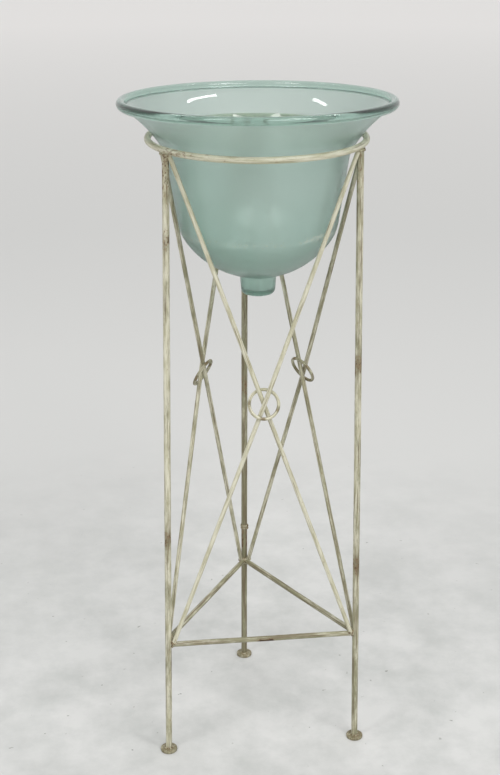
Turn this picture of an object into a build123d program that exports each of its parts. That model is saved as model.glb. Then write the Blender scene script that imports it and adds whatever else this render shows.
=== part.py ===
from build123d import *
import math
import os

# A glass bowl hanging in the ring of a three-legged stand welded from round iron rod.
# Millimetres and degrees.  +Z is up, the origin is on the ground under the middle
# of the bowl, and the back leg stands on +Y.

# ---- support ring ----
ring_radius = 147.5  # centreline of the ring that carries the bowl
ring_rod = 9.0
ring_height = 919.5  # centreline of the rod above the ground

# ---- legs and feet ----
leg_rod = 9.5
leg_splay = 18.5  # how much further out a leg stands on the ground than at the ring
foot_radius = 12.5
foot_thickness = 4.0
foot_edge = 0.8
splice_height = 248.0  # weld bead where the back leg was pieced together
splice_length = 14.0
splice_swell = 1.6

# ---- stretchers ----
stretcher_rod = 8.0
stretcher_height = 185.0
left_stretcher_rise = 9.5  # the left one was welded higher on the front left leg

# ---- crossed braces and the small rings threaded over them ----
brace_rod = 6.4
brace_outset = 2.5  # foot of a brace, outward from the middle of its stretcher
brace_bend = 60.0  # bend of the outer brace where it passes over the inner one
crossing_gap = 0.1
brace_ring_radius = 20.6
brace_ring_wire = 4.8
brace_ring_gap = 0.1

weld_sink = 1.2  # how deep a rod's end is coped over the rod it is welded to

# ---- bowl ----
glass_wall = 5.0
seat_clearance = 0.4  # bowl to support ring
neck_gap = 19.0  # outside of the neck to the inside of the support ring
neck_bend = 40.0
flare_start = 30.0  # lean from the vertical where the neck runs into the flare
flare_radius = 170.0
rim_overhang = 41.7  # widest part of the lip, out from the ring's centreline
lip_bead = 12.5
wall_lean = 8.5
body_depth = 165.5  # neck down to the bottom of the crown
crown_rise = 66.0  # bottom of the crown up to the foot of the straight wall
knuckle_radius = 60.0
nub_root_radius = 25.5
nub_tip_radius = 23.5
nub_length = 25.0
nub_corner = 7.0
nub_root_fillet = 5.0
# The blown bowl hangs a little askew: it leans back until the flare rests on the
# ring behind and the body comes up against the front braces.
bowl_tilt = 2.2
bowl_shift = 1.0  # along +X

LEGS = {"front_left": 210.0, "front_right": 330.0, "back": 90.0}
# On each side the inner brace falls from the top of the first leg to the foot of
# the second, and the outer brace from the top of the second to the foot of the first.
SIDES = {
    "front": ("front_left", "front_right"),
    "left": ("front_left", "back"),
    "right": ("back", "front_right"),
}

ring_underside = ring_height - ring_rod / 2
rod_pitch = (leg_rod + brace_rod) / 2  # brace lying against a leg, centre to centre

# The bowl's section as points of radius and height.  The neck's bend and the flare
# are arcs about centres outside the glass, and the ring's rod sits in the hollow of
# the flare, its clearance away from it.
neck_radius = ring_radius - ring_rod / 2 - neck_gap
neck_sine, neck_cosine = math.sin(math.radians(wall_lean)), math.cos(math.radians(wall_lean))
flare_sine, flare_cosine = math.sin(math.radians(flare_start)), math.cos(math.radians(flare_start))
neck_x = neck_radius + neck_bend * neck_cosine
flare_x = neck_x + (flare_radius - neck_bend) * flare_cosine
seat_reach = flare_radius - ring_rod / 2 - seat_clearance
flare_z = ring_height - math.sqrt(seat_reach**2 - (flare_x - ring_radius) ** 2)
neck_z = flare_z + (flare_radius - neck_bend) * flare_sine
flare_centre = Vector(flare_x, flare_z)
neck_centre = Vector(neck_x, neck_z)

# The lip's bead is centred on the middle of the flare's wall.
flare_middle = flare_radius + glass_wall / 2
lip_x = ring_radius + rim_overhang - lip_bead / 2
lip_lean = math.acos((flare_x - lip_x) / flare_middle)
flare_end = math.degrees(lip_lean)
lip = Vector(lip_x, flare_z + flare_middle * math.sin(lip_lean))

# The bottom is a shallow dome that the straight wall would meet crown_rise up.
crown_foot = neck_z + neck_bend * neck_sine - body_depth
wall_foot_radius = neck_radius - (body_depth - crown_rise) * neck_sine / neck_cosine
crown_radius = (wall_foot_radius**2 + crown_rise**2) / (2 * crown_rise)
crown_centre = Vector(0, crown_foot + crown_radius)

# Leaning back about the middle of the ring lowers the flare at the back, so the bowl
# is raised until its clearance to the ring is the same there as if it hung level.
tilt_sine, tilt_cosine = math.sin(math.radians(bowl_tilt)), math.cos(math.radians(bowl_tilt))
tilted_x = flare_x * tilt_cosine + (flare_z - ring_height) * tilt_sine
tilted_z = ring_height + (flare_z - ring_height) * tilt_cosine - flare_x * tilt_sine
seat_height = ring_height - math.sqrt(seat_reach**2 - (tilted_x - ring_radius) ** 2)
bowl_raise = seat_height - tilted_z


# ---------------------------------------------------------------- places
def polar(radius, angle, height):
    turn = math.radians(angle)
    return Vector(radius * math.cos(turn), radius * math.sin(turn), height)


def leg_point(leg, height):
    splay = leg_splay * (1 - height / ring_height)
    return polar(ring_radius + splay, LEGS[leg], height)


def outward(side):
    first, second = SIDES[side]
    return (polar(1, LEGS[first], 0) + polar(1, LEGS[second], 0)).normalized()


def stretcher_end_height(side, leg):
    welded_high = side == "left" and leg == "front_left"
    return stretcher_height + (left_stretcher_rise if welded_high else 0)


def brace_top(leg, toward):
    """Middle of a brace's upper end: under the ring, against the leg."""
    way_round = (LEGS[toward] - LEGS[leg] + 180) % 360 - 180
    step = math.copysign(math.degrees(rod_pitch / ring_radius), way_round)
    return polar(ring_radius, LEGS[leg] + step, ring_underside)


def brace_foot(side, leg, toward):
    """Middle of a brace's lower end: on top of the stretcher, against the leg."""
    height = stretcher_end_height(side, leg) + stretcher_rod / 2
    on_leg = leg_point(leg, height)
    along = (leg_point(toward, height) - on_leg).normalized()
    return on_leg + along * rod_pitch + outward(side) * brace_outset


def brace_crossing(side):
    """Point on the inner brace that the outer brace passes over."""
    first, second = SIDES[side]
    along = outward(side).rotate(Axis.Z, 90)
    inner_top, inner_foot = brace_top(first, second), brace_foot(side, second, first)
    outer_top, outer_foot = brace_top(second, first), brace_foot(side, first, second)
    inner_run, outer_run = inner_foot - inner_top, outer_foot - outer_top
    offset = outer_top - inner_top
    cross = inner_run.dot(along) * outer_run.Z - inner_run.Z * outer_run.dot(along)
    share = (offset.dot(along) * outer_run.Z - offset.Z * outer_run.dot(along)) / cross
    return inner_top + inner_run * share


# ---------------------------------------------------------------- stand
def make_support_ring():
    with BuildPart(Plane.XY.offset(ring_height)) as ring:
        Torus(ring_radius, ring_rod / 2)
    return ring.part


def make_foot(leg):
    with BuildPart() as foot:
        with BuildSketch(Plane(leg_point(leg, 0))):
            Circle(foot_radius)
        extrude(amount=foot_thickness)
        fillet(foot.edges(), foot_edge)
    return foot.part


def make_leg(leg, ring):
    rise = (leg_point(leg, ring_height) - leg_point(leg, 0)).normalized()
    across = polar(1, LEGS[leg] + 90, 0)
    with BuildPart() as rod:
        with BuildSketch(Plane(leg_point(leg, 0), x_dir=across, z_dir=rise)):
            Circle(leg_rod / 2)
        extrude(amount=ring_height)
        if leg == "back":
            splice = leg_point(leg, splice_height)
            with BuildSketch(Plane(splice, x_dir=across, z_dir=across.cross(rise))):
                with BuildLine():
                    bead = ThreePointArc(
                        (leg_rod / 2, -splice_length / 2),
                        (leg_rod / 2 + splice_swell, 0),
                        (leg_rod / 2, splice_length / 2),
                    )
                    Polyline(bead @ 1, (0, splice_length / 2), (0, -splice_length / 2), bead @ 0)
                make_face()
            revolve(axis=Axis(splice, rise))
        split(bisect_by=Plane.XY.offset(foot_thickness), keep=Keep.TOP)
        split(bisect_by=Plane.XY.offset(ring_underside + weld_sink), keep=Keep.BOTTOM)
        add(ring, mode=Mode.SUBTRACT)
    return rod.part


def make_stretcher(side, legs):
    first, second = SIDES[side]
    start = leg_point(first, stretcher_end_height(side, first))
    end = leg_point(second, stretcher_end_height(side, second))
    with BuildPart() as bar:
        with BuildSketch(Plane(start, z_dir=end - start)):
            Circle(stretcher_rod / 2)
        extrude(amount=(end - start).length)
        # Mitred against the next stretcher on the upright plane through each leg.
        for leg in (first, second):
            mitre = Plane((0, 0, 0), z_dir=polar(1, LEGS[leg] + 90, 0))
            inside = mitre.to_local_coords((start + end) / 2).Z > 0
            split(bisect_by=mitre, keep=Keep.TOP if inside else Keep.BOTTOM)
            add(legs[leg], mode=Mode.SUBTRACT)
    return bar.part


def make_brace(side, path_points, neighbours):
    top, foot = path_points[0], path_points[-1]
    first_run = (top - path_points[1]).normalized()
    last_run = (foot - path_points[-2]).normalized()
    points = [top + first_run * brace_rod, *path_points[1:-1], foot + last_run * brace_rod]
    with BuildPart() as rod:
        with BuildLine() as path:
            if len(points) == 2:
                Line(*points)
            else:
                FilletPolyline(*points, radius=brace_bend)
        with BuildSketch(path.line ^ 0):
            Circle(brace_rod / 2)
        sweep()
        split(bisect_by=Plane.XY.offset(top.Z + weld_sink), keep=Keep.BOTTOM)
        split(bisect_by=Plane.XY.offset(foot.Z - weld_sink), keep=Keep.TOP)
        for neighbour in neighbours:
            add(neighbour, mode=Mode.SUBTRACT)
    return rod.part


def make_inner_brace(side, neighbours):
    first, second = SIDES[side]
    ends = [brace_top(first, second), brace_foot(side, second, first)]
    return make_brace(side, ends, neighbours)


def make_outer_brace(side, neighbours):
    first, second = SIDES[side]
    over = brace_crossing(side) + outward(side) * (brace_rod + crossing_gap)
    points = [brace_top(second, first), over, brace_foot(side, first, second)]
    return make_brace(side, points, neighbours)


def make_brace_ring(side):
    """A small ring that both braces run through.

    It has slid down until it jams: its top edge lies behind the braces and its
    bottom edge in front of them, which sets its tilt.
    """
    first, second = SIDES[side]
    brace_run = brace_foot(side, second, first) - brace_top(first, second)
    lean_cosine = -brace_run.Z / brace_run.length
    reach = brace_rod + brace_ring_wire / 2 + crossing_gap / 2 + brace_ring_gap
    tilt = math.degrees(math.asin(reach / (brace_ring_radius * lean_cosine)))
    centre = brace_crossing(side) + outward(side) * (brace_rod + crossing_gap) / 2
    along = outward(side).rotate(Axis.Z, 90)
    facing = outward(side).rotate(Axis((0, 0, 0), along), -tilt)
    with BuildPart(Plane(centre, x_dir=along, z_dir=facing)) as ring:
        Torus(brace_ring_radius, brace_ring_wire / 2)
    return ring.part


# ---------------------------------------------------------------- bowl
def draw_half_section(inset, corner):
    """Outline of the bowl's outside, or of its hollow when inset is the glass wall.

    The outline closes from the flare's end by way of the corner to the axis.
    """
    flare = CenterArc(
        flare_centre, flare_radius + inset, 180 - flare_end, flare_end - flare_start
    )
    neck = CenterArc(neck_centre, neck_bend + inset, 180 - flare_start, flare_start - wall_lean)
    # The wall runs down from the neck until it meets the crown.
    down = Vector(-neck_sine, -neck_cosine)
    reach = neck @ 1 - crown_centre
    slide = reach.dot(down)
    fall = math.sqrt(slide**2 - reach.dot(reach) + (crown_radius - inset) ** 2) - slide
    knuckle = neck @ 1 + down * fall
    root_x = nub_root_radius - inset
    root = Vector(root_x, crown_centre.Y - math.sqrt((crown_radius - inset) ** 2 - root_x**2))
    floor = crown_foot - nub_length + inset
    tip = Vector(nub_tip_radius - inset, floor)
    Line(neck @ 1, knuckle)
    RadiusArc(knuckle, root, crown_radius - inset)
    Polyline(root, tip, (0, floor), (0, corner.Y), corner, flare @ 0)
    return knuckle, root, tip


def make_bowl():
    above_lip = lip + Vector(0, lip_bead)
    with BuildPart() as bowl:
        for inset, corner, mode in (
            (0, lip, Mode.ADD),
            (glass_wall, above_lip, Mode.SUBTRACT),
        ):
            with BuildSketch(Plane.XZ) as section:
                with BuildLine():
                    knuckle, root, tip = draw_half_section(inset, corner)
                make_face()
                for place, radius in (
                    (knuckle, knuckle_radius - inset),
                    (root, nub_root_fillet + inset),
                    (tip, nub_corner - inset),
                ):
                    fillet(section.vertices().sort_by_distance(place)[0], radius)
            revolve(axis=Axis.Z, mode=mode)
        with Locations((0, 0, lip.Y)):
            Torus(lip.X, lip_bead / 2)
    ring_axis = Axis((0, 0, ring_height), (1, 0, 0))
    return bowl.part.rotate(ring_axis, -bowl_tilt).translate((bowl_shift, 0, bowl_raise))


# ---------------------------------------------------------------- assembly
def make_all():
    parts = {"glass_bowl": make_bowl(), "support_ring": make_support_ring()}
    legs = {leg: make_leg(leg, parts["support_ring"]) for leg in LEGS}
    for leg in LEGS:
        parts[leg + "_leg"] = legs[leg]
        parts[leg + "_foot"] = make_foot(leg)
    for side in SIDES:
        parts[side + "_stretcher"] = make_stretcher(side, legs)
    bars = [parts[side + "_stretcher"] for side in SIDES]
    welded_to = [parts["support_ring"], *legs.values(), *bars]
    for side in SIDES:
        parts[side + "_inner_brace"] = make_inner_brace(side, welded_to)
        parts[side + "_outer_brace"] = make_outer_brace(side, welded_to)
        parts[side + "_brace_ring"] = make_brace_ring(side)
    return parts


os.makedirs("parts", exist_ok=True)
for name, part in make_all().items():
    part.label = name
    export_step(part, f"parts/{name}.step")
    print(name, round(part.volume), "mm3")
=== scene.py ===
# %% [markdown]
# # A hanging-bowl bird bath
# A blown sea-green glass bowl hangs in the ring of a tall three-legged stand. The stand
# is welded from round iron bar and painted an antique cream that has worn through.
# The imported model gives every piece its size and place. These cells make each piece
# again with the marks of the hand that made it, and give it its finish.

# %% Load the frame
import math

import bmesh
import bpy
import numpy as np
from mathutils import Matrix, Vector, noise


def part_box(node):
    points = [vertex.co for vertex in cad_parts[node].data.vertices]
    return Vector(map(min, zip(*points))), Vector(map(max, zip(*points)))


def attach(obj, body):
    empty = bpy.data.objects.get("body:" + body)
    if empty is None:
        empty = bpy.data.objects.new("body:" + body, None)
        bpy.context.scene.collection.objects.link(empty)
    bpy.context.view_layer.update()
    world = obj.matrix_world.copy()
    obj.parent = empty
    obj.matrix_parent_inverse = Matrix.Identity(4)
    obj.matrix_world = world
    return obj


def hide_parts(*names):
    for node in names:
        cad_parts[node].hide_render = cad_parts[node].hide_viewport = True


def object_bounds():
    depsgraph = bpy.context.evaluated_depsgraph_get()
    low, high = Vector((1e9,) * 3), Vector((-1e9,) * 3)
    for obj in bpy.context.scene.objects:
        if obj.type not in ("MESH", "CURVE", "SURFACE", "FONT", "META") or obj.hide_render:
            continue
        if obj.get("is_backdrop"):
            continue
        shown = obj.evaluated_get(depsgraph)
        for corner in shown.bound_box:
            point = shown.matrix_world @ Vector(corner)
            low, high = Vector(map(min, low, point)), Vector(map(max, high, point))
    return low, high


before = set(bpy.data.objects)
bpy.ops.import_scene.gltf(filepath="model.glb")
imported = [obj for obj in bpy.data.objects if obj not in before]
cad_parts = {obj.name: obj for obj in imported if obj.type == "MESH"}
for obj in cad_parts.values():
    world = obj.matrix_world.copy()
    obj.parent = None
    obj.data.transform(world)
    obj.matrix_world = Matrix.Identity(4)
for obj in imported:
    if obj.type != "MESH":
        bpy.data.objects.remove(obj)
cad_low, cad_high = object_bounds()
scene = bpy.context.scene
MM = 0.001
print("frame box in mm", [round(x / MM, 1) for x in cad_high - cad_low])

# %% [markdown]
# ## Camera
# A fairly long lens, two metres off, keeps the legs of the stand from leaning. It looks
# down a little, so that the mouth of the bowl shows as an open ellipse.

# %% Camera
camera_turn, camera_rise = math.radians(6.68), math.radians(21.705)
camera_distance = 1.97334
camera_back = Vector(
    (
        -math.sin(camera_turn) * math.cos(camera_rise),
        -math.cos(camera_turn) * math.cos(camera_rise),
        math.sin(camera_rise),
    )
)
camera_right = Vector((math.cos(camera_turn), -math.sin(camera_turn), 0))
camera_aim = Vector((0, 0, 0.55604)) - camera_right * 0.00938

camera = bpy.data.objects.new("camera", bpy.data.cameras.new("camera"))
camera.data.sensor_width = 36
camera.data.lens = 63.38
camera.location = camera_aim + camera_back * camera_distance
camera.rotation_euler = (-camera_back).to_track_quat("-Z", "Y").to_euler()
scene.collection.objects.link(camera)
scene.camera = camera
print("camera at", [round(x, 3) for x in camera.location])


# %% Colours and nodes
def colour(code, alpha=1.0):
    """An sRGB hex code as the linear colour that shaders use."""
    parts = [int(code[i : i + 2], 16) / 255 for i in (1, 3, 5)]
    linear = [p / 12.92 if p <= 0.04045 else ((p + 0.055) / 1.055) ** 2.4 for p in parts]
    return (*linear, alpha)


def add_node(tree, kind, inputs=None, **settings):
    """Adds a node. Each input is a value, or another node's output to link."""
    node = tree.nodes.new(kind)
    for name, value in settings.items():
        setattr(node, name, value)
    for name, value in (inputs or {}).items():
        if isinstance(value, bpy.types.NodeSocket):
            tree.links.new(value, node.inputs[name])
        else:
            node.inputs[name].default_value = value
    return node


def new_material(name):
    """An empty material and its tree, ready for nodes."""
    material = bpy.data.materials.new(name)
    material.use_nodes = True
    material.node_tree.nodes.clear()
    return material, material.node_tree


# %% [markdown]
# ## Floor
# Studio paper is matt, and is scuffed and gritty where people have stood on it. A large
# disc is enough, because noise on it does the rest. The scuffs fade out a metre away from
# the bath. The paper's tone also carries painted light: it is painted darker out to three
# metres and paler from nine metres on, as where it sweeps up out of the shade.

# %% Pale paper
def pale_floor():
    """Matt white paper, scuffed and greyer where people have stood, with painted light: paler far
    off.
    """
    material, tree = new_material("pale_studio_paper")
    place = add_node(tree, "ShaderNodeTexCoord").outputs["Object"]
    away = add_node(tree, "ShaderNodeVectorMath", {0: place}, operation="LENGTH").outputs["Value"]
    # Painted light: the paper is painted darker out to three metres and paler from nine metres on.
    painted_light_far_off = add_node(
        tree, "ShaderNodeMapRange", {"Value": away, "From Min": 3.0, "From Max": 9.0}
    )
    paper = add_node(
        tree,
        "ShaderNodeMix",
        {0: painted_light_far_off.outputs["Result"], 6: colour("#DADAD8"), 7: colour("#F3F1EF")},
        data_type="RGBA",
    )
    near = add_node(
        tree,
        "ShaderNodeMapRange",
        {"Value": away, "From Min": 0.3, "From Max": 1.1, "To Min": 0.7, "To Max": 0.0},
    )

    # Scuffs about 120 mm across.
    scuffs = add_node(
        tree,
        "ShaderNodeTexNoise",
        {"Vector": place, "Scale": 1 / (120 * MM), "Detail": 6, "Roughness": 0.65},
    )
    worn = add_node(
        tree,
        "ShaderNodeMapRange",
        {"Value": scuffs.outputs["Fac"], "From Min": 0.62, "From Max": 0.36},
    )
    scuffed = add_node(
        tree,
        "ShaderNodeMath",
        {0: worn.outputs["Result"], 1: near.outputs["Result"]},
        operation="MULTIPLY",
    )
    tone = add_node(
        tree,
        "ShaderNodeMix",
        {0: scuffed.outputs["Value"], 6: paper.outputs[2], 7: colour("#BCBEBB")},
        data_type="RGBA",
    )

    # Grit, drawn 14 mm apart so that single grains show.
    grit = add_node(
        tree,
        "ShaderNodeTexNoise",
        {"Vector": place, "Scale": 1 / (14 * MM), "Detail": 2, "Roughness": 0.5},
    )
    grains = add_node(
        tree,
        "ShaderNodeMapRange",
        {"Value": grit.outputs["Fac"], "From Min": 0.73, "From Max": 0.77},
    )
    gritty = add_node(
        tree,
        "ShaderNodeMath",
        {0: grains.outputs["Result"], 1: near.outputs["Result"]},
        operation="MULTIPLY",
    )
    tone = add_node(
        tree,
        "ShaderNodeMix",
        {0: gritty.outputs["Value"], 6: tone.outputs[2], 7: colour("#77776F")},
        data_type="RGBA",
    )
    shader = add_node(
        tree, "ShaderNodeBsdfPrincipled", {"Base Color": tone.outputs[2], "Roughness": 0.8}
    )
    add_node(tree, "ShaderNodeOutputMaterial", {"Surface": shader.outputs["BSDF"]})
    return material


# %% Lay the floor
floor_reach, floor_drop = 24, 0.2 * MM
bm = bmesh.new()
bmesh.ops.create_circle(bm, cap_ends=True, segments=96, radius=floor_reach)
bmesh.ops.translate(bm, verts=bm.verts, vec=(0, 0, -floor_drop))
floor = bpy.data.objects.new("floor", bpy.data.meshes.new("floor"))
bm.to_mesh(floor.data)
bm.free()
floor.data.materials.append(pale_floor())
scene.collection.objects.link(floor)
floor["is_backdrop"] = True
print("floor", 2 * floor_reach, "m across")

# %% [markdown]
# ## Room and lights
# The room is white, and dimmer to each side, so that a round rod shows a light middle and
# darker edges. Tall soft boxes and thin strips give the highlights on the glass, and two
# broad lights shape the paint. A plain standard view keeps paint and glass at the colours
# they are given.

# %% White room
world = bpy.data.worlds.new("white_room")
world.use_nodes = True
room = world.node_tree
way = add_node(room, "ShaderNodeTexCoord").outputs["Generated"]
way_parts = add_node(room, "ShaderNodeSeparateXYZ", {0: way})
# The room is dimmer to each side, and most of all on the left.
left_side = add_node(
    room,
    "ShaderNodeMapRange",
    {
        "Value": way_parts.outputs["X"],
        "From Min": -0.9,
        "From Max": 0,
        "To Min": 0.38,
        "To Max": 0.7,
    },
    interpolation_type="SMOOTHSTEP",
)
right_side = add_node(
    room,
    "ShaderNodeMapRange",
    {
        "Value": way_parts.outputs["X"],
        "From Min": 0.2,
        "From Max": 0.9,
        "To Min": 1,
        "To Max": 0.6,
    },
    interpolation_type="SMOOTHSTEP",
)
both_sides = add_node(
    room,
    "ShaderNodeMath",
    {0: left_side.outputs["Result"], 1: right_side.outputs["Result"]},
    operation="MULTIPLY",
)
# Near the horizon it is pale all round, like the floor that runs out to meet it.
above_horizon = add_node(
    room,
    "ShaderNodeMapRange",
    {"Value": way_parts.outputs["Z"], "From Min": 0.02, "From Max": 0.3},
    interpolation_type="SMOOTHSTEP",
)
brightness = add_node(
    room,
    "ShaderNodeMix",
    {0: above_horizon.outputs["Result"], 2: 0.72, 3: both_sides.outputs["Value"]},
    data_type="FLOAT",
)
room.nodes["Background"].inputs["Color"].default_value = colour("#FFFFFF")
room.links.new(brightness.outputs[0], room.nodes["Background"].inputs["Strength"])
scene.world = world
scene.view_settings.view_transform = "Standard"
print("room:", world.name)


# %% Lights
def soft_box(name, place, width, height, power):
    """A rectangular studio light at a place, turned towards the bowl."""
    lamp = bpy.data.objects.new(name, bpy.data.lights.new(name, "AREA"))
    lamp.data.shape = "RECTANGLE"
    lamp.data.size, lamp.data.size_y = width, height
    lamp.data.energy = power
    lamp.location = place
    to_bowl = Vector((0, 0, 0.9)) - Vector(place)
    lamp.rotation_euler = to_bowl.to_track_quat("-Z", "Y").to_euler()
    scene.collection.objects.link(lamp)


def broad_light(name, direction, strength, spread):
    """Even light from one side of the room, with the soft shadows of a wide source."""
    lamp = bpy.data.objects.new(name, bpy.data.lights.new(name, "SUN"))
    lamp.data.energy, lamp.data.angle = strength, math.radians(spread)
    lamp.rotation_euler = (-Vector(direction)).to_track_quat("-Z", "Y").to_euler()
    scene.collection.objects.link(lamp)


soft_box("right_soft_box", (0.76, -0.85, 2.48), 0.25, 1.2, 9)
soft_box("left_soft_box", (-0.89, -0.7, 2.49), 0.25, 1.2, 8)
soft_box("right_overhead_strip", (0.8, 0.57, 2.69), 0.07, 0.55, 2.4)
soft_box("left_overhead_strip", (-0.8, 0.75, 2.6), 0.08, 0.35, 1.2)
broad_light("key_light", (0.5, -1.5, 1.5), 0.85, 25)
broad_light("fill_light", (-0.8, -1.3, 1.4), 0.35, 25)

# %% [markdown]
# ## Worn antique cream paint on iron bar
# Stands like this are sold in a distressed finish: brown primer over black iron, then a
# thin cream coat wiped with an olive-brown glaze, and rubbed through on the high spots.
# Layers of noise do the same work, one function for each thing that was done to the bar.
# Brush streaks follow each bar, so the pattern reads an attribute that every piece
# carries: its place across and along its own bar. Two more attributes, grime and bare,
# say where a piece is dirtier or chipped through. The eye gets a satin cream that turns
# olive in patches, with fine brown lines along the bar.

# %% Brushed cream coat
def brushed_cream(tree, place, cream, aged):
    """The coat's colour, and its brush marks, 4 mm wide and 28 mm long."""
    across, along = 1 / (4 * MM), 1 / (28 * MM)
    brushed = add_node(
        tree, "ShaderNodeMapping", {"Vector": place, "Scale": (across, across, along)}
    )
    streaks = add_node(
        tree,
        "ShaderNodeTexNoise",
        {"Vector": brushed.outputs["Vector"], "Scale": 1.0, "Detail": 4, "Roughness": 0.55},
    ).outputs["Fac"]
    streaked = add_node(
        tree,
        "ShaderNodeMapRange",
        {"Value": streaks, "From Min": 0.35, "From Max": 0.7},
        interpolation_type="SMOOTHSTEP",
    )
    tone = add_node(
        tree,
        "ShaderNodeMix",
        {0: streaked.outputs["Result"], 6: colour(cream), 7: colour(aged)},
        data_type="RGBA",
    )
    return tone.outputs[2], streaks


# %% Wiped glaze
def wiped_glaze(tree, place, grime, under, glaze):
    """Glaze in patches 9 mm wide and 36 mm long, and more of it where a piece is grimy."""
    across, along = 1 / (9 * MM), 1 / (36 * MM)
    wiped = add_node(
        tree, "ShaderNodeMapping", {"Vector": place, "Scale": (across, across, along)}
    )
    patches = add_node(
        tree,
        "ShaderNodeTexNoise",
        {"Vector": wiped.outputs["Vector"], "Scale": 1.0, "Detail": 6, "Roughness": 0.7},
    ).outputs["Fac"]
    dirtier = add_node(
        tree, "ShaderNodeMath", {0: grime, 1: 0.42, 2: patches}, operation="MULTIPLY_ADD"
    )
    glazed = add_node(
        tree,
        "ShaderNodeMapRange",
        {"Value": dirtier.outputs["Value"], "From Min": 0.52, "From Max": 0.85, "To Max": 0.85},
        interpolation_type="SMOOTHSTEP",
    )
    tone = add_node(
        tree,
        "ShaderNodeMix",
        {0: glazed.outputs["Result"], 6: under, 7: colour(glaze)},
        data_type="RGBA",
    )
    return tone.outputs[2], patches


# %% Drawn lines
def drawn_lines(tree, place, grime, under):
    """Lines 1.5 mm wide and 70 mm long, where the rag drew the glaze along the bar."""
    across, along = 1 / (1.5 * MM), 1 / (70 * MM)
    drawn = add_node(
        tree, "ShaderNodeMapping", {"Vector": place, "Scale": (across, across, along)}
    )
    lines = add_node(
        tree,
        "ShaderNodeTexNoise",
        {"Vector": drawn.outputs["Vector"], "Scale": 1.0, "Detail": 5, "Roughness": 0.6},
    ).outputs["Fac"]
    more_lines = add_node(
        tree, "ShaderNodeMath", {0: grime, 1: 0.12, 2: lines}, operation="MULTIPLY_ADD"
    )
    lined = add_node(
        tree,
        "ShaderNodeMapRange",
        {"Value": more_lines.outputs["Value"], "From Min": 0.53, "From Max": 0.66, "To Max": 0.8},
        interpolation_type="SMOOTHSTEP",
    )
    tone = add_node(
        tree,
        "ShaderNodeMix",
        {0: lined.outputs["Result"], 6: under, 7: colour("#6B5D45")},
        data_type="RGBA",
    )
    return tone.outputs[2]


# %% Rubbed spots
def rubbed_spots(tree, place, bare, under):
    """Spots 3 mm wide and 6.6 mm long: a rim of brown primer, then iron gone brown."""
    across, along = 1 / (3 * MM), 1 / (6.6 * MM)
    rubbed = add_node(
        tree, "ShaderNodeMapping", {"Vector": place, "Scale": (across, across, along)}
    )
    rub = add_node(
        tree,
        "ShaderNodeTexNoise",
        {"Vector": rubbed.outputs["Vector"], "Scale": 1.0, "Detail": 6, "Roughness": 0.7},
    ).outputs["Fac"]
    barer = add_node(
        tree, "ShaderNodeMath", {0: bare, 1: 0.42, 2: rub}, operation="MULTIPLY_ADD"
    ).outputs["Value"]
    primer = add_node(
        tree,
        "ShaderNodeMapRange",
        {"Value": barer, "From Min": 0.6, "From Max": 0.7, "To Max": 0.7},
        interpolation_type="SMOOTHSTEP",
    )
    chips = add_node(
        tree,
        "ShaderNodeMapRange",
        {"Value": barer, "From Min": 0.69, "From Max": 0.76},
        interpolation_type="SMOOTHSTEP",
    ).outputs["Result"]
    tone = add_node(
        tree,
        "ShaderNodeMix",
        {0: primer.outputs["Result"], 6: under, 7: colour("#8A6F4E")},
        data_type="RGBA",
    )
    tone = add_node(
        tree,
        "ShaderNodeMix",
        {0: chips, 6: tone.outputs[2], 7: colour("#4A3A2A")},
        data_type="RGBA",
    )
    return tone.outputs[2], chips


# %% Painted iron
def painted_iron(name, cream, aged, glaze, grit_depth):
    """Satin paint, worn: cream with streaks, olive glaze, brown where it has gone."""
    material, tree = new_material(name)
    place = add_node(tree, "ShaderNodeAttribute", attribute_name="bar_place").outputs["Vector"]
    grime = add_node(tree, "ShaderNodeAttribute", attribute_name="grime").outputs["Fac"]
    bare = add_node(tree, "ShaderNodeAttribute", attribute_name="bare").outputs["Fac"]
    tone, streaks = brushed_cream(tree, place, cream, aged)
    tone, patches = wiped_glaze(tree, place, grime, tone, glaze)
    tone = drawn_lines(tree, place, grime, tone)
    tone, chips = rubbed_spots(tree, place, bare, tone)

    # The dry coat is a little grainy, 0.9 mm, and stands proud of the chips.
    grained = add_node(
        tree,
        "ShaderNodeTexNoise",
        {"Vector": place, "Scale": 1 / (0.9 * MM), "Detail": 2, "Roughness": 0.5},
    ).outputs["Fac"]
    brush_height = add_node(tree, "ShaderNodeMath", {0: streaks, 1: 0.35}, operation="MULTIPLY")
    coat = add_node(
        tree,
        "ShaderNodeMath",
        {0: grained, 1: grit_depth, 2: brush_height.outputs["Value"]},
        operation="MULTIPLY_ADD",
    )
    height = add_node(
        tree,
        "ShaderNodeMath",
        {0: chips, 1: -0.8, 2: coat.outputs["Value"]},
        operation="MULTIPLY_ADD",
    )
    bump = add_node(
        tree,
        "ShaderNodeBump",
        {"Height": height.outputs["Value"], "Strength": 0.55, "Distance": 0.25 * MM},
    )
    # Glaze and bare iron are duller than the cream.
    dulled = add_node(
        tree, "ShaderNodeMath", {0: chips, 1: 0.5, 2: patches}, operation="MULTIPLY_ADD"
    )
    gloss = add_node(
        tree,
        "ShaderNodeMapRange",
        {"Value": dulled.outputs["Value"], "From Min": 0.3, "To Min": 0.36, "To Max": 0.8},
    )
    shader = add_node(
        tree,
        "ShaderNodeBsdfPrincipled",
        {
            "Base Color": tone,
            "Roughness": gloss.outputs["Result"],
            "Normal": bump.outputs["Normal"],
            "IOR": 1.5,
        },
    )
    add_node(tree, "ShaderNodeOutputMaterial", {"Surface": shader.outputs["BSDF"]})
    return material


bar_paint = painted_iron("worn_cream_paint", "#DBD8C3", "#B6B294", "#7C7B5C", 0.5)
weld_paint = painted_iron("cream_paint_on_weld", "#CFCBB3", "#A69F7D", "#6E6A4C", 1.2)
print("paint:", bar_paint.name, weld_paint.name)

# %% [markdown]
# ## Measuring the frame
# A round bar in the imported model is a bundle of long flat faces. Their normals all lie
# square to the bar, so the direction that they share least is its axis, and a circle
# through their corners gives its middle and radius. The same way, a ring's plane is the
# one its points stray from least.

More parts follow.
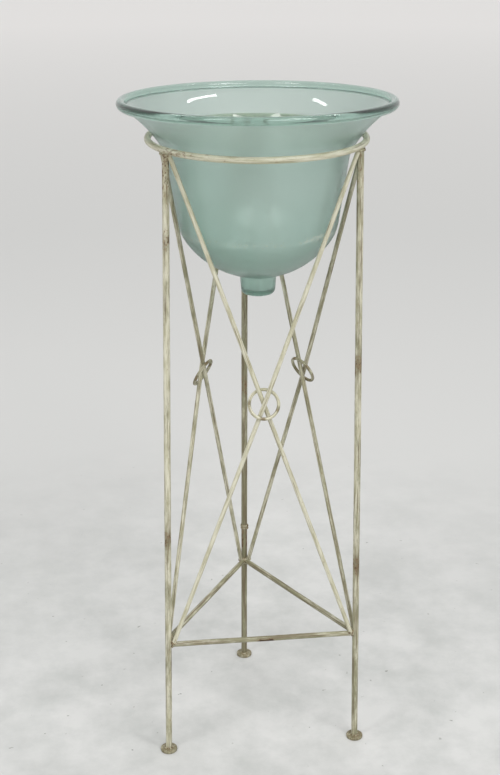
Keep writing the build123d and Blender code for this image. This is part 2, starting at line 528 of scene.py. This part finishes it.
# %% Measuring helpers
def node_points(name):
    """A frame node's corners as an array."""
    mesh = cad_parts[name].data
    points = np.empty(len(mesh.vertices) * 3)
    mesh.vertices.foreach_get("co", points)
    return points.reshape(-1, 3)


def bar_run(name, low=0.0, high=1.0):
    """Both ends of a straight bar's axis, and its radius, from long faces between two heights."""
    points = node_points(name)
    rough = np.linalg.svd(points - points.mean(0), full_matrices=False)[2][0]
    corners, normals = [], []
    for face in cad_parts[name].data.polygons:
        reach = points[list(face.vertices)] @ rough
        side = abs(np.dot(face.normal, rough)) < 0.1
        if side and np.ptp(reach) > 20 * MM and low <= face.center.z <= high:
            corners += [points[i] for i in face.vertices]
            normals.append(np.array(face.normal) * math.sqrt(face.area))
    corners, normals = np.array(corners), np.array(normals)
    across = np.linalg.eigh(normals.T @ normals)[1]
    axis, sides = across[:, 0], across[:, 1:]
    flat = corners @ sides
    fit = np.linalg.lstsq(np.c_[2 * flat, np.ones(len(flat))], (flat**2).sum(1), rcond=None)[0]
    middle, radius = sides @ fit[:2], math.sqrt(fit[2] + fit[0] ** 2 + fit[1] ** 2)
    along = corners @ axis
    ends = [Vector(middle + axis * along.min()), Vector(middle + axis * along.max())]
    return sorted(ends, key=lambda end: -end.z), radius


def ring_plan(name):
    """Centre, axis, centreline radius and wire radius of a round ring."""
    points = node_points(name)
    low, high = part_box(name)
    centre = (low + high) / 2
    offsets = points - np.array(centre)
    axis = Vector(np.linalg.eigh(offsets.T @ offsets)[1][:, 0])
    if axis.z < 0:
        axis.negate()
    reach = np.linalg.norm(offsets, axis=1)
    return centre, axis, (reach.max() + reach.min()) / 2, (reach.max() - reach.min()) / 2


def at_height(ends, height):
    """Point of a bar's axis at a height."""
    top, foot = ends
    return foot.lerp(top, (height - foot.z) / (top.z - foot.z))


print("support ring", [round(x / MM, 2) for x in ring_plan("support_ring")[2:]])

# %% [markdown]
# ## Bars
# Hot-rolled bar is never quite round or straight: it keeps faint dents from the hammer
# and the bender. Each bar starts as a cone of equal ends, cut into short lengths, so that
# a little noise can dent and bow it. Its rims are bevelled, because a sawn end is filed.

# %% Make a bar
def finish_piece(bm, name, node_names, body, material):
    """Turns a bmesh in place into a smooth object that stands for some frame nodes."""
    mesh = bpy.data.meshes.new(name)
    bm.to_mesh(mesh)
    bm.free()
    mesh.polygons.foreach_set("use_smooth", [True] * len(mesh.polygons))
    mesh.materials.append(material)
    piece = bpy.data.objects.new(name, mesh)
    scene.collection.objects.link(piece)
    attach(piece, body)
    if node_names:
        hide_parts(*node_names)
    return piece


def wear(bm, grime, marks):
    """Paints grime all over, and more of it, or bare metal, near each mark.

    A mark is (point, reach, grime, bare).
    """
    dirt = bm.verts.layers.float.new("grime")
    chipped = bm.verts.layers.float.new("bare")
    for vert in bm.verts:
        vert[dirt] = grime
        for point, reach, more_grime, more_bare in marks:
            share = max(0.0, 1 - ((vert.co - point).length / reach) ** 2)
            vert[dirt] += share * more_grime
            vert[chipped] = max(vert[chipped], share * more_bare)


def make_bar(name, stops, radius, seed, grime=0.0, marks=(), dent=0.12, bow=0.3, sides=18):
    """A bar from its first stop to its last. A middle stop kinks it. Dents and bow in mm."""
    start, end = stops[0], stops[-1]
    length = (end - start).length
    bm = bmesh.new()
    bmesh.ops.create_cone(
        bm,
        cap_ends=True,
        cap_tris=False,
        segments=sides,
        radius1=radius,
        radius2=radius,
        depth=length,
    )
    runs = [e for e in bm.edges if abs(e.verts[0].co.z - e.verts[1].co.z) > length / 2]
    rims = [e for e in bm.edges if e not in runs]
    bmesh.ops.bevel(
        bm,
        geom=rims,
        offset=0.12 * radius,
        offset_type="OFFSET",
        segments=2,
        profile=0.5,
        affect="EDGES",
        material=-1,
    )
    runs = [e for e in bm.edges if abs(e.verts[0].co.z - e.verts[1].co.z) > length / 2]
    cut_apart, dent_apart = 5 * MM, 11 * MM
    bmesh.ops.subdivide_edges(bm, edges=runs, cuts=round(length / cut_apart))
    place = bm.verts.layers.float_vector.new("bar_place")
    kink_share = (stops[1] - start).dot(end - start) / length**2
    kink = stops[1] - start.lerp(end, kink_share) if len(stops) > 2 else None
    turn = (end - start).to_track_quat("Z", "Y").to_matrix().to_4x4()
    for vert in bm.verts:
        x, y, z = vert.co
        share = z / length + 0.5
        vert[place] = Vector((x, y, z + seed))
        spot = Vector((x, y, z)) / dent_apart + Vector((seed * 7, 0, 0))
        swell = 1 + dent * MM / radius * (noise.noise(spot) + 0.5 * noise.noise(spot * 2.3) - 0.3)
        drift_x = noise.noise(Vector((seed, share * 3, 0)))
        drift_y = noise.noise(Vector((0, share * 3, seed)))
        drift = Vector((drift_x, drift_y, 0))
        fade = math.sin(math.pi * min(max(share, 0), 1))
        vert.co = Vector((x * swell, y * swell, z)) + drift * bow * MM * fade
    bmesh.ops.transform(bm, matrix=Matrix.Translation((start + end) / 2) @ turn, verts=bm.verts)
    if kink:
        for vert in bm.verts:
            share = (vert.co - start).dot(end - start) / length**2
            ramp = share / kink_share if share < kink_share else (1 - share) / (1 - kink_share)
            vert.co += kink * max(0.0, min(1.0, ramp))
    wear(bm, grime, marks)
    return finish_piece(bm, name + "_bar", [name], "stand", bar_paint)


# %% Legs
legs = {name: bar_run(name + "_leg", 0.27, 0.9) for name in ("front_left", "front_right", "back")}
top_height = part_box("back_leg")[1].z
foot_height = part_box("back_leg")[0].z
leg_grime = {"front_left": 0.12, "front_right": 0.28, "back": 0.7}
# Grime and bare metal under the support ring, and how far up each leg it has been knocked.
top_wear = {"front_left": (0.25, 0.35), "front_right": (0.05, 0.22), "back": (0.25, 0.35)}
knock_heights = {"front_left": (0.8, 0.36), "front_right": (0.615, 0.3), "back": (0.5,)}
splice_height = 0.248
for seed, (name, (ends, radius)) in enumerate(legs.items(), 1):
    top, foot = at_height(ends, top_height), at_height(ends, foot_height - 0.5 * MM)
    legs[name] = ([top, foot], radius)
    marks = [(at_height(ends, top_height - 20 * MM), 50 * MM, *top_wear[name])]
    if name == "back":
        splice = at_height(ends, splice_height)
        for drop in (10, 18, 26, 34):  # darker, barer marks down both sides below the splice
            for side in (-1, 1):
                side_mark = splice + Vector((side * radius, -0.4 * radius, -drop * MM))
                marks.append((side_mark, 7 * MM, 0.3, 0.5))
    marks += [(at_height(ends, height), 0.2, 0.15, 0) for height in (0.02, 0.25)]
    for height in knock_heights[name]:
        marks.append((at_height(ends, height) - Vector((0, radius, 0)), 20 * MM, 0.4, 0.38))
    make_bar(name + "_leg", [top, foot], radius, seed, leg_grime[name], marks)
    print(name, "leg, in mm:", round((top - foot).length / MM, 1), "of", round(2 * radius / MM, 2))

# %% Stretchers
stretchers = {}
stretcher_grime = {"front": 0.55, "left": 0.55, "right": 0.65}
for seed, name in enumerate(stretcher_grime, 11):
    ends, radius = bar_run(name + "_stretcher", 0.1, 0.3)
    ends = sorted(ends, key=lambda end: end.x)
    stretchers[name] = (ends, radius)
    marks = []
    if name == "front":
        chip = ends[0].lerp(ends[1], 0.52) + Vector((0, -0.6 * radius, -radius))
        marks = [(chip + Vector((step * MM, 0, 0)), 7 * MM, 0.1, 1.0) for step in (-10, -4, 2, 8)]
    make_bar(name + "_stretcher", ends, radius, seed, stretcher_grime[name], marks)
    print(name, "stretcher", round((ends[0] - ends[1]).length / MM, 1), "mm")

# %% Crossed braces
braces = {}
brace_grime = {"front": -0.12, "left": 0.3, "right": 0.4}
for seed, (side, grime) in enumerate(brace_grime.items(), 21):
    low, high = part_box(side + "_brace_ring")
    crossing = (low.z + high.z) / 2
    inner, radius = bar_run(side + "_inner_brace")
    box_low, box_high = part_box(side + "_inner_brace")
    inner = [at_height(inner, box_high.z), at_height(inner, box_low.z)]
    upper, radius = bar_run(side + "_outer_brace", crossing, 1)
    lower, radius = bar_run(side + "_outer_brace", 0, crossing)
    box_low, box_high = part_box(side + "_outer_brace")
    outer = [at_height(upper, box_high.z), (upper[1] + lower[0]) / 2, at_height(lower, box_low.z)]
    braces[side] = (inner, outer, radius)
    make_bar(side + "_inner_brace", inner, radius, seed, grime, bow=0.2, sides=16)
    make_bar(side + "_outer_brace", outer, radius, seed + 10, grime, bow=0.15, sides=16)
    print(side, "braces cross", round(outer[1].z / MM, 1), "mm up")

# %% [markdown]
# ## Rings
# The support ring is bar rolled into a hoop and butt welded; the three small rings are
# bent wire, slipped over the crossed braces. A circle spun round the ring's axis makes
# each one, and the spin merges its last step with its first.

# %% Make a ring
def make_ring(name, steps, sides, seed, grime, marks, dent=0.1):
    """A closed ring of round wire, in so many steps round and sides to the wire."""
    centre, axis, radius, wire = ring_plan(name)
    bm = bmesh.new()
    bmesh.ops.create_circle(bm, cap_ends=False, segments=sides, radius=wire)
    upright = Matrix.Rotation(math.pi / 2, 3, "X")
    bmesh.ops.rotate(bm, verts=bm.verts, cent=(0, 0, 0), matrix=upright)
    bmesh.ops.translate(bm, verts=bm.verts, vec=(radius, 0, 0))
    bmesh.ops.spin(
        bm,
        geom=bm.verts[:] + bm.edges[:],
        cent=(0, 0, 0),
        axis=(0, 0, 1),
        angle=2 * math.pi,
        steps=steps,
        use_merge=True,
    )
    bmesh.ops.recalc_face_normals(bm, faces=bm.faces)
    place = bm.verts.layers.float_vector.new("bar_place")
    for vert in bm.verts:
        turn = math.atan2(vert.co.y, vert.co.x)
        hub = Vector((math.cos(turn), math.sin(turn), 0)) * radius
        out = vert.co - hub
        vert[place] = Vector((out.dot(hub) / radius, out.z, turn * radius + seed))
        spot = vert.co / (9 * MM) + Vector((0, 0, seed * 5))
        vert.co = hub + out * (1 + dent * MM / wire * (noise.noise(spot) - 0.6))
    turn = axis.to_track_quat("Z", "Y").to_matrix().to_4x4()
    bmesh.ops.transform(bm, matrix=Matrix.Translation(centre) @ turn, verts=bm.verts)
    wear(bm, grime, marks)
    return finish_piece(bm, name + "_hoop", [name], "stand", bar_paint)


ring_centre, ring_axis, ring_radius, ring_wire = ring_plan("support_ring")
ring_left = ring_centre + Vector((-0.8, -0.6, 0)) * ring_radius
beside_left = ring_left + Vector((45 * MM, -20 * MM, 0))
marks = [(ring_left, 50 * MM, 0.4, 0.28), (beside_left, 30 * MM, 0.2, 0.25)]
make_ring("support_ring", 220, 20, 41, -0.3, marks)
brace_ring_grime = {"front": 0.05, "left": 0.45, "right": 0.5}
for seed, (side, grime) in enumerate(brace_ring_grime.items(), 51):
    centre, axis, radius, wire = ring_plan(side + "_brace_ring")
    marks = [(centre - Vector((0, 0, radius)), 14 * MM, 0.4, 0.45)]
    for turn in (0.6, 1.9, 3.4, 5.3):  # rubbed where the wire was held while it was bent
        reach = Matrix.Rotation(turn, 3, axis) @ axis.orthogonal().normalized() * radius
        marks.append((centre + reach, 6 * MM, 0.7, 0.4))
    make_ring(side + "_brace_ring", 72, 14, seed, grime, marks)
    print(side, "brace ring", round(2 * (radius + wire) / MM, 1), "mm across")

# %% [markdown]
# ## Feet
# Each leg ends on a small round pad. It is a disc raised to its thickness, with its
# edges rounded by a bevel, because a stamped pad has no sharp edge.

# %% Feet
for seed, name in enumerate(legs, 61):
    low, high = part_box(name + "_foot")
    radius, thickness = (high.x - low.x) / 2, high.z - low.z
    middle = (low + high) / 2
    bm = bmesh.new()
    bmesh.ops.create_circle(bm, cap_ends=True, segments=40, radius=radius)
    raised = bmesh.ops.extrude_face_region(bm, geom=bm.faces[:])["geom"]
    upper = [v for v in raised if isinstance(v, bmesh.types.BMVert)]
    bmesh.ops.translate(bm, verts=upper, vec=(0, 0, thickness))
    bmesh.ops.recalc_face_normals(bm, faces=bm.faces)
    rims = [e for e in bm.edges if abs(e.verts[0].co.z - e.verts[1].co.z) < 1e-7]
    bmesh.ops.bevel(
        bm,
        geom=rims,
        offset=0.8 * MM,
        offset_type="OFFSET",
        segments=3,
        profile=0.5,
        affect="EDGES",
        material=-1,
    )
    place = bm.verts.layers.float_vector.new("bar_place")
    bmesh.ops.translate(bm, verts=bm.verts, vec=(middle.x, middle.y, low.z))
    for vert in bm.verts:
        vert[place] = vert.co + Vector((0, 0, seed))
    wear(bm, 0.55, [(Vector((middle.x, middle.y, low.z)), 1.3 * radius, 0, 0.4)])
    finish_piece(bm, name + "_foot_pad", [name + "_foot"], "stand", weld_paint)
    print(name, "foot", round(2 * radius / MM, 1), "mm across")

# %% [markdown]
# ## Welds
# Every joint is stick welded and left as it cooled: a row of overlapping drops round the
# end of the bar. Small spheres are laid as the welder lays the drops, a remesh melts
# them into one skin, and smoothing takes off the creases.

# %% Make a weld
noise.seed_set(7)  # without a seed, vector noise starts from the clock


def bead_row(centre, axis, reach, drop, count, seed):
    """Drops in a ring round an axis: (place, radius) for each."""
    side = axis.orthogonal().normalized()
    other = axis.cross(side).normalized()
    drops = []
    for k in range(count):
        turn = 2 * math.pi * k / count
        jitter = noise.noise_vector(Vector((seed, k * 1.7, 0.5)))
        out = side * math.cos(turn) + other * math.sin(turn)
        drops.append((centre + out * reach + jitter * drop * 0.35, drop * (1 + 0.25 * jitter.x)))
    return drops


def make_weld(name, drops, seed, grime, bare):
    """Melts drops, each (place, radius), into one skin, barest near the first of them."""
    bm = bmesh.new()
    for centre, radius in drops:
        place = Matrix.Translation(centre)
        bmesh.ops.create_icosphere(bm, subdivisions=2, radius=radius, matrix=place)
    rough = bpy.data.objects.new("rough", bpy.data.meshes.new("rough"))
    bm.to_mesh(rough.data)
    bm.free()
    scene.collection.objects.link(rough)
    melt = rough.modifiers.new("melt", "REMESH")
    melt.mode, melt.voxel_size = "VOXEL", 0.55 * MM
    shown = rough.evaluated_get(bpy.context.evaluated_depsgraph_get())
    melted = bpy.data.meshes.new_from_object(shown)
    bpy.data.objects.remove(rough)
    bm = bmesh.new()
    bm.from_mesh(melted)
    bpy.data.meshes.remove(melted)
    for _ in range(3):
        bmesh.ops.smooth_vert(
            bm, verts=bm.verts, factor=0.5, use_axis_x=True, use_axis_y=True, use_axis_z=True
        )
    place = bm.verts.layers.float_vector.new("bar_place")
    for vert in bm.verts:
        vert[place] = vert.co + Vector((0, 0, seed))
    wear(bm, grime, [(drops[0][0], 20 * MM, 0, bare)])
    return finish_piece(bm, name, [], "stand", weld_paint)


# %% Weld a leg's top, foot and crossbars
def weld_top(name, ends, radius, seed):
    """Drops under the support ring, and round each brace that ends there."""
    up = (ends[0] - ends[1]).normalized()
    underside = ring_centre.z - ring_wire
    under_ring = at_height(ends, underside - 0.4 * MM)
    drops = bead_row(under_ring, up, radius + 0.2 * MM, 1.9 * MM, 12, seed)
    touching = []
    for inner, outer, thick in braces.values():
        for run in (inner, outer[:2]):
            if (run[0] - ends[0]).length < 12 * MM:
                touching.append((run[0], (run[0] - run[1]).normalized(), thick))
    for end, way, thick in touching:
        drops += bead_row(end - way * 1.5 * MM, way, thick + 0.1 * MM, 1.5 * MM, 10, seed + 3)
        between = (end + at_height(ends, end.z)) / 2
        drops.append((between - Vector((0, 0, 2.5 * MM)), 2.6 * MM))
        drops.append((between - Vector((0, 0, 5.5 * MM)), 2.0 * MM))
    if name == "front_left":  # the welder laid far too much here, and it ran down the leg
        for k in range(26):
            jitter = noise.noise_vector(Vector((seed, k * 2.1, 9.5)))
            spot = at_height(ends, underside - (3 + 1.4 * k) * MM)
            way = Vector((jitter.x + 0.3, -1 + 0.6 * jitter.y, 0)).normalized()
            drops.append((spot + way * (radius - 0.3 * MM), (1.5 + 0.7 * jitter.z) * MM))
    make_weld(name + "_top_weld", drops, seed, 0.25, 0.5)


def weld_foot(name, ends, radius, seed):
    """A ring of drops where the leg stands on its pad."""
    up = (ends[0] - ends[1]).normalized()
    on_pad = at_height(ends, ends[1].z + 1.0 * MM)
    drops = bead_row(on_pad, up, radius + 0.5 * MM, 1.5 * MM, 14, seed)
    make_weld(name + "_foot_weld", drops, seed, 0.3, 0.4)


def weld_crossbars(name, ends, radius, seed):
    """Drops round each stretcher and brace that ends low on the leg."""
    drops = []
    for bar_ends, thick in stretchers.values():
        for near, far in (bar_ends, bar_ends[::-1]):
            if (near - at_height(ends, near.z)).length < 12 * MM:
                way = (far - near).normalized()
                skin = at_height(ends, near.z) + way * (radius + 0.6 * MM)
                drops += bead_row(skin, way, thick, 1.6 * MM, 12, seed)
    for inner, outer, thick in braces.values():
        for run in (inner[::-1], outer[:0:-1]):
            axis_point = at_height(ends, run[0].z)
            if (run[0] - axis_point).length < 16 * MM:
                way = (run[1] - run[0]).normalized()
                near = run[0] + way * 1.2 * MM
                drops += bead_row(near, way, thick + 0.1 * MM, 1.4 * MM, 10, seed + 3)
                drops.append(((run[0] + axis_point) / 2 + Vector((0, 0, 2 * MM)), 2.4 * MM))
    make_weld(name + "_stretcher_weld", drops, seed, 0.2, 0.5)


# %% Weld the legs
for seed, (name, (ends, radius)) in enumerate(legs.items(), 71):
    weld_top(name, ends, radius, seed)
    weld_foot(name, ends, radius, seed + 10)
    weld_crossbars(name, ends, radius, seed + 20)
    print(name, "leg welded")

# %% Weld the splice in the back leg
ends, radius = legs["back"]
up = (ends[0] - ends[1]).normalized()
drops = bead_row(splice + up * 2.2 * MM, up, radius - 0.6 * MM, 2.4 * MM, 11, 95)
drops += bead_row(splice - up * 2.4 * MM, up, radius - 0.8 * MM, 2.4 * MM, 11, 96)
make_weld("back_leg_splice_weld", drops, 95, 0.4, 0.4)

# %% [markdown]
# ## Blown glass bowl
# The bowl is sea-green glass blown into a mould, with a flared rim and a thick rolled
# lip. Its outside is etched to a satin, and its inside is as it left the fire. Absorption
# inside the glass gives the colour, so it deepens where the glass is thick. The section
# is drawn as one chain, each curve by a point spun about the middle of its arc, and the
# chain is spun about the bowl's axis.

# %% Glass
def sea_glass():
    """Tinted soda glass, polished inside and on the lip, and etched to a satin outside."""
    material, tree = new_material("blown_sea_glass")
    place = add_node(tree, "ShaderNodeTexCoord").outputs["Object"]
    etched = add_node(tree, "ShaderNodeAttribute", attribute_name="etched").outputs["Fac"]
    # The satin is uneven in clouds 45 mm across, with a fine grain of 1.2 mm.
    cloud = add_node(
        tree,
        "ShaderNodeTexNoise",
        {"Vector": place, "Scale": 1 / (45 * MM), "Detail": 4, "Roughness": 0.6},
    )
    fine = add_node(
        tree,
        "ShaderNodeTexNoise",
        {"Vector": place, "Scale": 1 / (1.2 * MM), "Detail": 3, "Roughness": 0.6},
    )
    satin = add_node(
        tree,
        "ShaderNodeMapRange",
        {
            "Value": cloud.outputs["Fac"],
            "From Min": 0.3,
            "From Max": 0.7,
            "To Min": 0.3,
            "To Max": 0.4,
        },
    )
    rough = add_node(
        tree, "ShaderNodeMix", {0: etched, 2: 0.04, 3: satin.outputs["Result"]}, data_type="FLOAT"
    )
    clear = add_node(tree, "ShaderNodeMapRange", {"Value": etched, "To Min": 0.95, "To Max": 0.92})
    # Lime left by old water, in specks 3 mm wide, where the attribute lime lets it show.
    limed = add_node(tree, "ShaderNodeAttribute", attribute_name="lime").outputs["Fac"]
    speckled = add_node(
        tree,
        "ShaderNodeTexNoise",
        {"Vector": place, "Scale": 1 / (3 * MM), "Detail": 5, "Roughness": 0.65},
    )
    raised = add_node(
        tree,
        "ShaderNodeMath",
        {0: limed, 1: 0.2, 2: speckled.outputs["Fac"]},
        operation="MULTIPLY_ADD",
    )
    specks = add_node(
        tree,
        "ShaderNodeMapRange",
        {"Value": raised.outputs["Value"], "From Min": 0.67, "From Max": 0.78, "To Max": 0.45},
    )
    see_through = add_node(
        tree,
        "ShaderNodeMath",
        {0: clear.outputs["Result"], 1: specks.outputs["Result"]},
        operation="SUBTRACT",
    )
    skin = add_node(
        tree,
        "ShaderNodeMix",
        {0: etched, 6: colour("#EAF3EF"), 7: colour("#F2F8F6")},
        data_type="RGBA",
    )
    crusted = add_node(
        tree,
        "ShaderNodeMix",
        {0: specks.outputs["Result"], 6: skin.outputs[2], 7: colour("#E4E0C4")},
        data_type="RGBA",
    )
    grain = add_node(
        tree, "ShaderNodeMath", {0: fine.outputs["Fac"], 1: etched}, operation="MULTIPLY"
    )
    bump = add_node(
        tree,
        "ShaderNodeBump",
        {"Height": grain.outputs["Value"], "Strength": 0.5, "Distance": 0.03 * MM},
    )
    shader = add_node(
        tree,
        "ShaderNodeBsdfPrincipled",
        {
            "Base Color": crusted.outputs[2],
            "Roughness": rough.outputs[0],
            "Normal": bump.outputs["Normal"],
            "IOR": 1.51,
            "Transmission Weight": see_through.outputs["Value"],
        },
    )
    tint = add_node(
        tree, "ShaderNodeVolumeAbsorption", {"Color": colour("#8ACFBC"), "Density": 43.0}
    )
    add_node(
        tree,
        "ShaderNodeOutputMaterial",
        {"Surface": shader.outputs["BSDF"], "Volume": tint.outputs["Volume"]},
    )
    return material


bowl_glass = sea_glass()
print("glass:", bowl_glass.name)

# %% Sizes of the bowl, in mm
glass_wall = 5.0
neck_radius, neck_bend, wall_lean = 124.0, 40.0, math.radians(8.5)
flare_start, flare_radius = math.radians(30), 170.0
lip_radius, lip_bead = 182.88, 6.25
body_depth, crown_rise, knuckle = 165.5, 66.0, 60.0
nub_root, nub_tip, nub_length, nub_corner, root_fillet = 25.5, 23.5, 25.0, 7.0, 5.0
bowl_lean = math.radians(2.2)

# Heights are from the middle of the neck's bend.
bend_middle = Vector((neck_radius + neck_bend * math.cos(wall_lean), 0))
flare_way = Vector((math.cos(flare_start), -math.sin(flare_start)))
flare_middle = bend_middle + (flare_radius - neck_bend) * flare_way
mid_wall = flare_radius + glass_wall / 2
lip_lean = math.acos((flare_middle.x - lip_radius) / mid_wall)
lip_middle = flare_middle + mid_wall * Vector((-math.cos(lip_lean), math.sin(lip_lean)))
wall_top = bend_middle + neck_bend * Vector((-math.cos(wall_lean), math.sin(wall_lean)))
wall_way = Vector((-math.sin(wall_lean), -math.cos(wall_lean)))
wall_out = Vector((math.cos(wall_lean), -math.sin(wall_lean)))
crown_foot = wall_top.y - body_depth
wall_foot = neck_radius - (body_depth - crown_rise) * math.tan(wall_lean)
crown_radius = (wall_foot**2 + crown_rise**2) / (2 * crown_rise)
crown_middle = Vector((0, crown_foot + crown_radius))
print("crown of the bottom:", round(crown_radius, 1), "mm radius")


# %% Draw the section
def meet(middle, reach, start, way, side=1):
    """Where a line crosses a circle, going in (side -1) or coming out (side 1)."""
    offset = start - middle
    slide = offset.dot(way)
    return start + way * (side * math.sqrt(slide**2 - offset.dot(offset) + reach**2) - slide)


def stroke(bm, pen, to, middle=None, step=2.2):
    """Draws from the pen's vertex to a point, straight or round a middle. Returns the end."""
    start = Vector((pen.co.x, pen.co.z))
    if middle is None:
        count = max(1, round((to - start).length / step))
        for _ in range(count):
            grown = bmesh.ops.extrude_vert_indiv(bm, verts=[pen])
            pen = grown["verts"][0]
            shift = (to - start) / count
            bmesh.ops.translate(bm, verts=[pen], vec=(shift.x, 0, shift.y))
        return pen
    first, last = start - middle, to - middle
    angle = math.atan2(first.x * last.y - first.y * last.x, first.dot(last))
    count = max(3, math.ceil(abs(angle) * first.length / step))
    made = bmesh.ops.spin(
        bm, geom=[pen], cent=(middle.x, 0, middle.y), axis=(0, -1, 0), angle=angle, steps=count
    )
    return [v for v in made["geom_last"] if isinstance(v, bmesh.types.BMVert)][0]


def corners(inset):
    """Where the strokes of the outside, or of the inside a wall's thickness in, meet."""
    floor = crown_foot - nub_length + inset
    tip, root = Vector((nub_tip - inset, floor)), Vector((nub_root - inset, 0))
    root.y = crown_middle.y - math.sqrt((crown_radius - inset) ** 2 - root.x**2)
    nub_way = (root - tip).normalized()
    nub_out = Vector((nub_way.y, -nub_way.x))
    small = nub_corner - inset
    # A rounded corner's middle is its radius in from both of the corner's sides.
    corner = tip - nub_out * small + nub_way * small * (1 + nub_out.y) / nub_way.y
    big = root_fillet + inset
    hollow = meet(crown_middle, crown_radius + root_fillet, tip + nub_out * big, nub_way, -1)
    to_hollow = (hollow - crown_middle).normalized()
    knee = meet(crown_middle, crown_radius - knuckle, wall_top - wall_out * knuckle, wall_way)
    to_knee = (knee - crown_middle).normalized()
    reach = flare_radius + inset
    swing = math.acos((mid_wall**2 + reach**2 - lip_bead**2) / (2 * mid_wall * reach))
    flare_tip = lip_lean - swing
    return [
        (Vector((corner.x, floor)), None),
        (corner + nub_out * small, corner),
        (hollow - nub_out * big, None),
        (crown_middle + to_hollow * (crown_radius - inset), hollow),
        (crown_middle + to_knee * (crown_radius - inset), crown_middle),
        (knee + wall_out * (knuckle - inset), knee),
        (wall_top - wall_out * inset, None),
        (bend_middle - (neck_bend + inset) * flare_way, bend_middle),
        (flare_middle + reach * Vector((-math.cos(flare_tip), math.sin(flare_tip))), flare_middle),
    ]


bm = bmesh.new()
outside, inside = corners(0.0), corners(glass_wall)
pen = bm.verts.new((0, 0, crown_foot - nub_length))
for to, middle in outside:
    pen = stroke(bm, pen, to, middle)
# Round the lip the long way, past its outer edge and over its top.
for past in (Vector((lip_bead, 0)), Vector((0, lip_bead)), inside[-1][0] - lip_middle):
    pen = stroke(bm, pen, lip_middle + past, lip_middle, 1.3)
back_way = [(a[0], b[1]) for a, b in zip(inside[-2::-1], inside[:0:-1])]
for to, middle in back_way:
    pen = stroke(bm, pen, to, middle)
pen = stroke(bm, pen, Vector((0, crown_foot - nub_length + glass_wall)))
print("section drawn with", len(bm.verts), "points")

# %% Spin the bowl
for vert in bm.verts:
    vert.co *= MM
    if abs(vert.co.x) < 1e-6:
        vert.co.x = 0
bmesh.ops.spin(
    bm,
    geom=bm.verts[:] + bm.edges[:],
    cent=(0, 0, 0),
    axis=(0, 0, 1),
    angle=2 * math.pi,
    steps=176,
    use_merge=True,
)
bmesh.ops.remove_doubles(bm, verts=bm.verts, dist=1e-6)
bmesh.ops.recalc_face_normals(bm, faces=bm.faces)
bm.normal_update()
print("bowl spun with", len(bm.faces), "faces")

# %% [markdown]
# ## Hand of the blower
# Hand-blown walls wander in long soft ripples, inwards only, and more of them inside. Hot
# glass settles while it is blown, so the wall is thicker on the inside lower down, and on
# the side that hung lowest. Moving each point along its normal does all three. Then two
# attributes say where the finish is satin, and where lime has dried in a tide line.

# %% Ripples and thickness
lip_height = lip_middle.y * MM
settled_depth, slumped_depth = 3.2 * MM, 1.4 * MM
for vert in bm.verts:
    inner_side = vert.normal.z > 0
    spot = vert.co / (38 * MM) + Vector((0, 0, 5 if inner_side else 0))
    ripple = 0.5 + 0.5 * noise.noise(spot) + 0.25 * noise.noise(spot * 2.1)
    ripple *= min(1, max(0.08, (lip_height - vert.co.z) / (16 * MM)))  # the lip was trued
    inwards = ripple * (0.3 if inner_side else 0.16) * MM
    if inner_side:
        inwards -= settled_depth * min(1, max(0, (-30 * MM - vert.co.z) / (90 * MM)))
        low_side = max(0, -vert.co.x / (110 * MM)) * max(0, 1 - vert.co.z / (30 * MM))
        inwards -= slumped_depth * min(1, low_side)
    vert.co -= vert.normal * inwards
bm.normal_update()
print("glass", round(bm.calc_volume(signed=True) * 1e6), "cm3")

# %% Satin and lime
etched = bm.verts.layers.float.new("etched")
lime = bm.verts.layers.float.new("lime")
for vert in bm.verts:
    below_lip = vert.co.z < lip_height - 0.6 * lip_bead * MM
    vert[etched] = 1.0 if vert.normal.z < 0 and below_lip else 0.0
    # The tide line is 92 mm below the neck, and comes and goes round the bowl.
    tide = 1 - abs(vert.co.z + (92 + 4 * noise.noise(vert.co / (60 * MM))) * MM) / (9 * MM)
    patchy = 0.85 + 1.3 * noise.noise(Vector((vert.co.x, vert.co.y, 3.1)) / (50 * MM))
    vert[lime] = max(0.0, min(1.0, tide * patchy)) * vert[etched]
print("satin on", sum(vert[etched] > 0 for vert in bm.verts), "points")

# %% Hang the bowl
tilt = Matrix.Rotation(-bowl_lean, 3, "X")
bmesh.ops.rotate(bm, verts=bm.verts, cent=(0, 0, 0), matrix=tilt)
low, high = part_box("glass_bowl")
mine_low = Vector([min(v.co[i] for v in bm.verts) for i in range(3)])
mine_high = Vector([max(v.co[i] for v in bm.verts) for i in range(3)])
bmesh.ops.translate(bm, verts=bm.verts, vec=(low + high - mine_low - mine_high) / 2)
finish_piece(bm, "blown_glass_bowl", ["glass_bowl"], "bowl", bowl_glass)
wider = (mine_high - mine_low) - (high - low)
print("box differs by", [round(x / MM, 2) for x in wider], "mm")

# %% [markdown]
# ## Finish
# The visible model should fill the same box as the imported one, so how far each side of its box
# grew is printed.

# %% Compare the boxes and finish
new_low, new_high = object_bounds()
grown = (*(cad_low - new_low), *(new_high - cad_high))
print("box grew by", [round(x / MM, 3) for x in grown], "mm")
